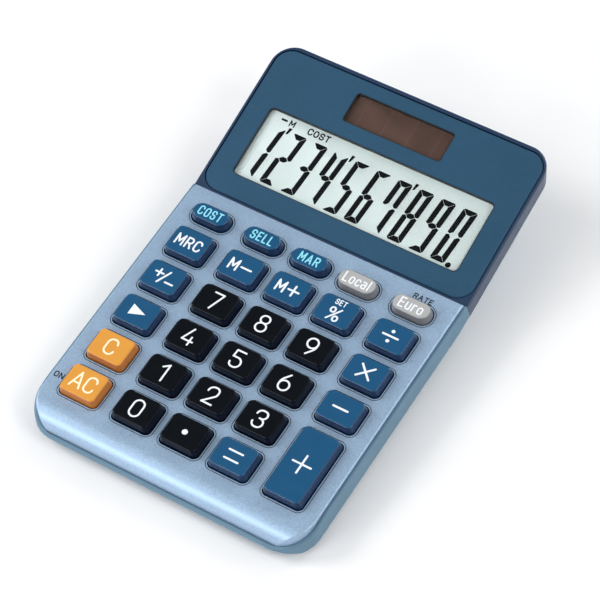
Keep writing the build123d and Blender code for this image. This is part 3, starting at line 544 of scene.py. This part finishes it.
# Glyphs: the width as a share of the height, then the strokes, as (x, y, corner radius) in a unit box.
# "o" closes a stroke.
ROUND = 0.5
GLYPHS = {
    "0": (0.56, [[(0, 0, ROUND), (1, 0, ROUND), (1, 1, ROUND), (0, 1, ROUND), "o"]]),
    "1": (0.34, [[(0, 0.78, 0), (0.85, 1, 0), (0.85, 0, 0)]]),
    "2": (
        0.56,
        [[(0, 0.7, 0), (0, 1, ROUND), (1, 1, ROUND), (1, 0.58, 0.4), (0, 0, 0), (1, 0, 0)]],
    ),
    "3": (
        0.56,
        [
            [(0, 0.74, 0), (0, 1, ROUND), (1, 1, ROUND), (1, 0.53, 0.42), (0.45, 0.53, 0)],
            [(0.45, 0.53, 0), (1, 0.53, ROUND), (1, 0, ROUND), (0, 0, ROUND), (0, 0.26, 0)],
        ],
    ),
    "4": (0.6, [[(0.55, 1, 0), (0, 0.24, 0), (1, 0.24, 0)], [(0.74, 0.5, 0), (0.74, 0, 0)]]),
    "5": (
        0.56,
        [
            [
                (0.92, 1, 0),
                (0.06, 1, 0),
                (0.02, 0.6, 0),
                (1, 0.6, ROUND),
                (1, 0, ROUND),
                (0, 0, ROUND),
                (0, 0.24, 0),
            ]
        ],
    ),
    "6": (
        0.56,
        [
            [(0, 0, ROUND), (1, 0, ROUND), (1, 0.6, ROUND), (0, 0.6, ROUND), "o"],
            [(0, 0.3, 0), (0, 0.56, 0.8), (0.6, 1, 0)],
        ],
    ),
    "7": (0.52, [[(0, 1, 0), (1, 1, 0), (0.32, 0, 0)]]),
    "8": (
        0.56,
        [
            [(0.06, 0.53, 0.44), (0.94, 0.53, 0.44), (0.94, 1, 0.44), (0.06, 1, 0.44), "o"],
            [(0, 0, ROUND), (1, 0, ROUND), (1, 0.53, ROUND), (0, 0.53, ROUND), "o"],
        ],
    ),
    "9": (
        0.56,
        [
            [(0, 0.4, ROUND), (1, 0.4, ROUND), (1, 1, ROUND), (0, 1, ROUND), "o"],
            [(1, 0.7, 0), (1, 0.44, 0.8), (0.4, 0, 0)],
        ],
    ),
    "A": (0.62, [[(0, 0, 0), (0.5, 1, 0), (1, 0, 0)], [(0.19, 0.3, 0), (0.81, 0.3, 0)]]),
    "C": (
        0.56,
        [[(1, 0.74, 0), (1, 1, ROUND), (0, 1, ROUND), (0, 0, ROUND), (1, 0, ROUND), (1, 0.26, 0)]],
    ),
    "E": (0.48, [[(1, 1, 0), (0, 1, 0), (0, 0, 0), (1, 0, 0)], [(0, 0.52, 0), (0.85, 0.52, 0)]]),
    "L": (0.46, [[(0, 1, 0), (0, 0, 0), (1, 0, 0)]]),
    "M": (0.68, [[(0, 0, 0), (0, 1, 0), (0.5, 0.3, 0), (1, 1, 0), (1, 0, 0)]]),
    "N": (0.58, [[(0, 0, 0), (0, 1, 0), (1, 0, 0), (1, 1, 0)]]),
    "O": (0.56, [[(0, 0, ROUND), (1, 0, ROUND), (1, 1, ROUND), (0, 1, ROUND), "o"]]),
    "R": (
        0.54,
        [
            [(0, 0, 0), (0, 1, 0), (1, 1, 0.46), (1, 0.48, 0.46), (0, 0.48, 0)],
            [(0.55, 0.48, 0), (1, 0, 0)],
        ],
    ),
    "S": (
        0.54,
        [
            [
                (1, 0.76, 0),
                (1, 1, ROUND),
                (0, 1, ROUND),
                (0, 0.52, 0.46),
                (1, 0.5, 0.46),
                (1, 0, ROUND),
                (0, 0, ROUND),
                (0, 0.24, 0),
            ]
        ],
    ),
    "T": (0.52, [[(0, 1, 0), (1, 1, 0)], [(0.5, 1, 0), (0.5, 0, 0)]]),
    "a": (
        0.44,
        [
            [(0.1, 0.7, 0), (1, 0.7, 0.42), (1, 0, 0)],
            [(1, 0.4, 0), (0, 0.4, 0.4), (0, 0, 0.4), (1, 0, 0.4), (1, 0.16, 0)],
        ],
    ),
    "c": (
        0.42,
        [[(1, 0.54, 0), (1, 0.7, ROUND), (0, 0.7, ROUND), (0, 0, ROUND), (1, 0, ROUND), (1, 0.16, 0)]],
    ),
    "l": (0.1, [[(0.5, 1, 0), (0.5, 0, 0)]]),
    "o": (0.46, [[(0, 0, ROUND), (1, 0, ROUND), (1, 0.7, ROUND), (0, 0.7, ROUND), "o"]]),
    "r": (0.3, [[(0, 0.7, 0), (0, 0, 0)], [(0, 0.36, 0), (0, 0.7, 0.7), (1, 0.7, 0)]]),
    "u": (0.44, [[(0, 0.7, 0), (0, 0, ROUND), (1, 0, ROUND), (1, 0.3, 0)], [(1, 0.7, 0), (1, 0, 0)]]),
    "+": (0.98, [[(0, 0.5, 0), (1, 0.5, 0)], [(0.5, 0, 0), (0.5, 1, 0)]]),
    "-": (0.92, [[(0, 0.5, 0), (1, 0.5, 0)]]),
    "_": (1.0, [[(0, 0.5, 0), (1, 0.5, 0)]]),
    "=": (1.0, [[(0, 0.82, 0), (1, 0.82, 0)], [(0, 0.18, 0), (1, 0.18, 0)]]),
    "x": (0.98, [[(0, 0, 0), (1, 1, 0)], [(0, 1, 0), (1, 0, 0)]]),
    "/": (0.6, [[(0, 0, 0), (1, 1, 0)]]),
    "%": (
        0.95,
        [
            [(0.05, 0, 0), (0.95, 1, 0)],
            [(0, 0.6, 0.21), (0.42, 0.6, 0.21), (0.42, 1, 0.21), (0, 1, 0.21), "o"],
            [(0.58, 0, 0.21), (1, 0, 0.21), (1, 0.4, 0.21), (0.58, 0.4, 0.21), "o"],
        ],
    ),
}


def split_at_points(path):
    """An open path cut at its sharp corners, so that its strokes meet there with round ends."""
    runs = [[path[0]]]
    for corner in path[1:-1]:
        runs[-1].append(corner)
        if corner[2] == 0:
            runs.append([corner])
    runs[-1].append(path[-1])
    return runs


def strokes(text, tall, wide, gap, squeeze=1.0):
    """The strokes of a line of text about its middle, from its height, stroke width and letter gap."""
    rise = tall - wide
    made, reach = [], 0.0
    for letter in text:
        share, drawn = GLYPHS[letter]
        span = share * tall * squeeze
        for stroke in drawn:
            closed = stroke[-1] == "o"
            corners = stroke[:-1] if closed else stroke
            path = [(reach + x * span, y * rise, radius * min(span, rise)) for x, y, radius in corners]
            made += [(path, True)] if closed else [(run, False) for run in split_at_points(path)]
        reach += span + wide + gap
    middle = (reach - wide - gap) / 2
    placed = []
    for path, closed in made:
        placed.append(([(x - middle, y - rise / 2, radius) for x, y, radius in path], closed))
    return placed


def printed(name, plane, lines, body, material):
    """A piece of printing: lines of (strokes, stroke width, across, along) on a plane."""
    corners, faces, lift = [], [], 0.0
    for drawn, wide, across, along in lines:
        for path, closed in drawn:
            shifted = [(x + across, y + along, radius) for x, y, radius in path]
            more, joins = ribbon(shifted, closed, wide, -INK_SINK, INK_DEPTH + lift)
            faces += [tuple(corner + len(corners) for corner in join) for join in joins]
            corners += more
            lift += LIFT_STEP  # strokes that cross don't share a surface
    build(name, plane, corners, faces, body, material)


def dot(radius, across, along):
    """A round dot at a place, as a line for printed(): a stroke too short to see."""
    tiny = 0.01 * MM
    return [([(-tiny, 0, 0), (tiny, 0, 0)], False)], 2 * radius, across, along


def text_line(text, tall, wide, gap, across=0.0, along=0.0, squeeze=1.0):
    """Text at a place, as a line for printed()."""
    return strokes(text, tall, wide, gap, squeeze), wide, across, along


# Key legends: each key's ink and lines

INKS = {
    "white": ink("white_ink", linear(236, 240, 244)),
    "cream": ink("cream_ink", linear(255, 238, 204)),
    "cyan": ink("pale_cyan_ink", linear(140, 222, 238)),
    "black": ink("black_ink", linear(16, 18, 22)),
}
DIGIT_TALL, DIGIT_STROKE, DIGIT_SQUEEZE = 6.7 * MM, 0.62 * MM, 0.94
LEGENDS = {
    "key_point": ("white", [dot(0.95 * MM, 0, 0)]),
    "key_equals": ("white", [text_line("=", 5.6 * MM, 0.66 * MM, 0, squeeze=0.85)]),
    "key_plus": ("white", [text_line("+", 7.2 * MM, 0.66 * MM, 0, squeeze=0.9)]),
    "key_minus": ("white", [text_line("_", 5.0 * MM, 0.72 * MM, 0)]),
    "key_times": ("white", [text_line("x", 5.2 * MM, 0.7 * MM, 0, squeeze=0.88)]),
    "key_divide": (
        "white",
        [text_line("_", 5.2 * MM, 0.72 * MM, 0), dot(0.62 * MM, 0, 1.9 * MM), dot(0.62 * MM, 0, -1.9 * MM)],
    ),
    "key_percent": (
        "white",
        [
            text_line("%", 5.2 * MM, 0.6 * MM, 0, 0, -1.3 * MM, 0.74),
            text_line("SET", 2.1 * MM, 0.34 * MM, 0.22 * MM, 0, 3.3 * MM, 0.76),
        ],
    ),
    "key_memory_recall": ("white", [text_line("MRC", 4.4 * MM, 0.62 * MM, 0.6 * MM, squeeze=0.8)]),
    "key_memory_minus": ("white", [text_line("M-", 4.5 * MM, 0.68 * MM, 0.7 * MM, squeeze=0.86)]),
    "key_memory_plus": ("white", [text_line("M+", 4.5 * MM, 0.68 * MM, 0.7 * MM, squeeze=0.84)]),
    "key_sign": (
        "white",
        [
            text_line("+", 3.3 * MM, 0.66 * MM, 0, -1.9 * MM, 1.0 * MM, 0.85),
            text_line("/", 5.6 * MM, 0.66 * MM, 0, 0.2 * MM, 0, 0.7),
            text_line("_", 2.7 * MM, 0.66 * MM, 0, 2.9 * MM, -1.5 * MM),
        ],
    ),
    "key_clear": ("cream", [text_line("C", 6.2 * MM, 0.64 * MM, 0, squeeze=0.96)]),
    "key_all_clear": ("cream", [text_line("AC", 6.2 * MM, 0.64 * MM, 0.55 * MM, squeeze=0.9)]),
    "key_cost": ("cyan", [text_line("COST", 3.6 * MM, 0.5 * MM, 0.48 * MM, squeeze=0.66)]),
    "key_sell": ("cyan", [text_line("SELL", 3.6 * MM, 0.5 * MM, 0.48 * MM, squeeze=0.66)]),
    "key_margin": ("cyan", [text_line("MAR", 3.6 * MM, 0.5 * MM, 0.55 * MM, squeeze=0.7)]),
    "key_local": ("white", [text_line("Local", 3.9 * MM, 0.5 * MM, 0.42 * MM, squeeze=0.72)]),
    "key_euro": ("white", [text_line("Euro", 3.9 * MM, 0.5 * MM, 0.45 * MM, squeeze=0.78)]),
}
for digit in "0123456789":
    line = text_line(digit, DIGIT_TALL, DIGIT_STROKE, 0, squeeze=DIGIT_SQUEEZE)
    LEGENDS["key_" + digit] = ("white", [line])

for key, (colour, lines) in LEGENDS.items():
    plane, _ = top_plane(key)
    printed("legend_" + key[4:], plane, lines, key, INKS[colour])


def prism(outline, low, high):
    """The corners and faces of a flat outline drawn from low to high."""
    count = len(outline)
    corners = [(x, y, low) for x, y in outline] + [(x, y, high) for x, y in outline]
    faces = [tuple(range(count - 1, -1, -1)), tuple(range(count, 2 * count))]
    faces += [(i, (i + 1) % count, count + (i + 1) % count, count + i) for i in range(count)]
    return corners, faces


arrow_plane, _ = top_plane("key_backspace")
arrow_reach, arrow_half, arrow_shift = 5.4 * MM, 2.05 * MM, -2.4 * MM
arrow = [(arrow_shift, -arrow_half), (arrow_shift + arrow_reach, 0), (arrow_shift, arrow_half)]
shape = prism(arrow, -INK_SINK, INK_DEPTH)
build("legend_backspace", arrow_plane, *shape, "key_backspace", INKS["white"])

# Printing on the deck beside two keys

for name, key, text, tall, wide, across, along in (
    ("label_rate", "key_euro", "RATE", 2.1 * MM, 0.36 * MM, 0.8 * MM, 5.7 * MM),
    ("label_on", "key_all_clear", "ON", 2.2 * MM, 0.38 * MM, -9.9 * MM, 0.0),
):
    key_plane, _ = top_plane(key)
    spot = moved(level_with(key_plane, deck_plane), across, along)
    printed(name, spot, [text_line(text, tall, wide, 0.3 * MM)], "case", INKS["black"])

# A black band round the edge of each window, down to its cell

band_wide, band_out = 0.26 * MM, -0.03 * MM    # its width, and its middle past the lens's edge
band_low, band_high = -1.05 * MM, 0.3 * MM     # from the lens's top
for name, node, corner in (
    ("display_edge_band", "display_window", 1.7 * MM),
    ("solar_edge_band", "solar_window", 1.1 * MM),
):
    lens_plane, (half_across, half_along) = top_plane(node)
    x, y = half_across + band_out, half_along + band_out
    rim = [(-x, -y, corner), (x, -y, corner), (x, y, corner), (-x, y, corner)]
    shape = ribbon(rim, True, band_wide, band_low, band_high, 1.0)
    edge_band = build(name, lens_plane, *shape, "case", FINISHES["black_plastic"])

# The display's segments, just above its cell

SEGMENTS = {
    "0": "abcdef",
    "1": "bc",
    "2": "abged",
    "3": "abgcd",
    "4": "fgbc",
    "5": "afgcd",
    "6": "afgecd",
    "7": "fabc",
    "8": "abcdefg",
    "9": "abcdfg",
}
digit_wide, digit_tall, digit_pitch = 5.2 * MM, 19.8 * MM, 7.93 * MM
segment_wide, segment_gap, segment_corner = 1.85 * MM, 0.09 * MM, 0.55 * MM
lean = math.tan(math.radians(5.4))
first_digit_left, digits_bottom = -40.45 * MM, -11.6 * MM  # from the middle of the window
film_low, film_high = 0.012 * MM, 0.03 * MM  # above the cell


def segment_outline(which):
    """One of a digit's seven segments, a at the top, then clockwise, with g in the middle."""
    wide, tall, thick, gap, corner = digit_wide, digit_tall, segment_wide, segment_gap, segment_corner
    middle = tall / 2
    near, far, tip = 0.4 * corner, 0.5 * corner, 0.6 * corner  # how far a bevelled corner is drawn in
    if which == "a":
        return [
            (corner + gap, tall),
            (wide - corner - gap, tall),
            (wide - gap - near, tall - far),
            (wide - thick - gap, tall - thick),
            (thick + gap, tall - thick),
            (gap + near, tall - far),
        ]
    if which == "d":
        return [(x, tall - y) for x, y in reversed(segment_outline("a"))]
    if which == "g":
        half = thick / 2
        return [
            (half + gap, middle),
            (thick + gap, middle - half),
            (wide - thick - gap, middle - half),
            (wide - half - gap, middle),
            (wide - thick - gap, middle + half),
            (thick + gap, middle + half),
        ]
    if which == "b":
        return [
            (wide, tall - gap - corner),
            (wide - far, tall - gap - near),
            (wide - thick, tall - thick - gap),
            (wide - thick, middle + thick / 2 + gap),
            (wide - thick / 2, middle + gap),
            (wide, middle + gap + tip),
        ]
    if which == "c":
        return [(x, tall - y) for x, y in reversed(segment_outline("b"))]
    if which == "f":
        return [(wide - x, y) for x, y in reversed(segment_outline("b"))]
    return [(wide - x, tall - y) for x, y in segment_outline("b")]


window_plane, _ = top_plane("display_window")
cell_plane, _ = top_plane("lcd_glass")
display_plane = level_with(window_plane, cell_plane)
corners, faces = [], []


def add_outline(outline, across, along):
    """Adds a slanted outline to the display's segments."""
    slanted = [(across + x + (y + along - digits_bottom) * lean, along + y) for x, y in outline]
    more, joins = prism(slanted, film_low, film_high)
    faces.extend(tuple(corner + len(corners) for corner in join) for join in joins)
    corners.extend(more)


marked_places = (0, 3, 6)  # the digits with a mark for thousands after them
mark_gap, mark_drop = 0.35 * MM, 1.6 * MM
mark = [(0.1 * MM, 0), (0.8 * MM, 0.3 * MM), (1.25 * MM, 2.6 * MM), (0.1 * MM, 2.6 * MM)]
for place, digit in enumerate("1234567890"):
    digit_left = first_digit_left + place * digit_pitch
    for segment in SEGMENTS[digit]:
        add_outline(segment_outline(segment), digit_left, digits_bottom)
    if place in marked_places:
        add_outline(mark, digit_left + digit_wide + mark_gap, digits_bottom + digit_tall - mark_drop)

point_radius, point_centre, point_rise = 0.95 * MM, 37.6 * MM, 0.2 * MM
around = [math.radians(angle) for angle in range(0, 360, 20)]
point = [(point_radius * math.cos(angle), point_radius * math.sin(angle)) for angle in around]
add_outline(point, point_centre, digits_bottom + point_rise)

segment_ink = ink("display_segment", linear(8, 10, 12), 0.5, 0.05)
build("display_digits", display_plane, corners, faces, "case", segment_ink)
printed(
    "display_signs",
    moved(display_plane, 0, 0, film_low),
    [
        text_line("_", 1.6 * MM, 0.75 * MM, 0, -35.8 * MM, 11.0 * MM),
        text_line("M", 2.4 * MM, 0.45 * MM, 0, -32.7 * MM, 10.8 * MM),
        text_line("COST", 2.5 * MM, 0.48 * MM, 0.3 * MM, -22.6 * MM, 10.8 * MM),
    ],
    "case",
    segment_ink,
)

# Floor, lights and camera

floor_mesh = bpy.data.meshes.new("floor")
floor_half = 3.0
floor_corners = [(x * floor_half, y * floor_half, 0.0) for x, y in ((-1, -1), (1, -1), (1, 1), (-1, 1))]
floor_mesh.from_pydata(floor_corners, [], [(0, 1, 2, 3)])
floor = bpy.data.objects.new("floor", floor_mesh)
scene.collection.objects.link(floor)
floor_finish = Finish("pale_floor", Specular_IOR_Level=0.2)
paper = floor_finish.noise(40 * MM, 3.0)
floor_finish.colour(floor_finish.colours(paper, (0.90, 0.90, 0.90), (0.93, 0.93, 0.93)))
floor_finish.roughness(paper, 0.7, 0.8)
floor_mesh.materials.append(floor_finish.material)

world = bpy.data.worlds.new("studio")
world.use_nodes = True
background = world.node_tree.nodes["Background"]
background.inputs["Color"].default_value = (0.95, 0.97, 1.0, 1.0)
background.inputs["Strength"].default_value = 0.42
scene.world = world
scene.view_settings.view_transform = "Standard"

object_middle = (cad_box[0] + cad_box[1]) / 2


def softbox(name, place, across, power):
    """A square area light that faces the object."""
    lamp = bpy.data.lights.new(name, "AREA")
    lamp.shape = "SQUARE"
    lamp.size = across
    lamp.energy = power
    made = bpy.data.objects.new(name, lamp)
    made.location = place
    made.rotation_euler = (object_middle - Vector(place)).to_track_quat("-Z", "Y").to_euler()
    scene.collection.objects.link(made)


softbox("key_light", (-0.95, -0.3, 0.75), 0.6, 8.0)
softbox("side_light", (0.95, -0.05, 0.8), 0.6, 4.6)
softbox("edge_light", (0.88, 0.56, 0.36), 0.3, 1.6)
softbox("front_light", (-0.4, -0.9, 0.5), 0.5, 4.0)
softbox("back_light", (0.25, 1.0, 0.6), 0.6, 4.0)

camera = bpy.data.cameras.new("camera")
camera.sensor_width = 36.0
camera.lens = 163.13
camera.clip_start, camera.clip_end = 0.01, 20.0
viewer = bpy.data.objects.new("camera", camera)
camera_right = Vector((0.848522, 0.526688, -0.051096))
camera_up = Vector((-0.394163, 0.693520, 0.603047))
camera_back = camera_right.cross(camera_up)
viewer.matrix_world = Matrix.Translation((0.303139, -0.417916, 0.689597)) @ (
    Matrix((camera_right, camera_up, camera_back)).transposed().to_4x4()
)
scene.collection.objects.link(viewer)
scene.camera = viewer
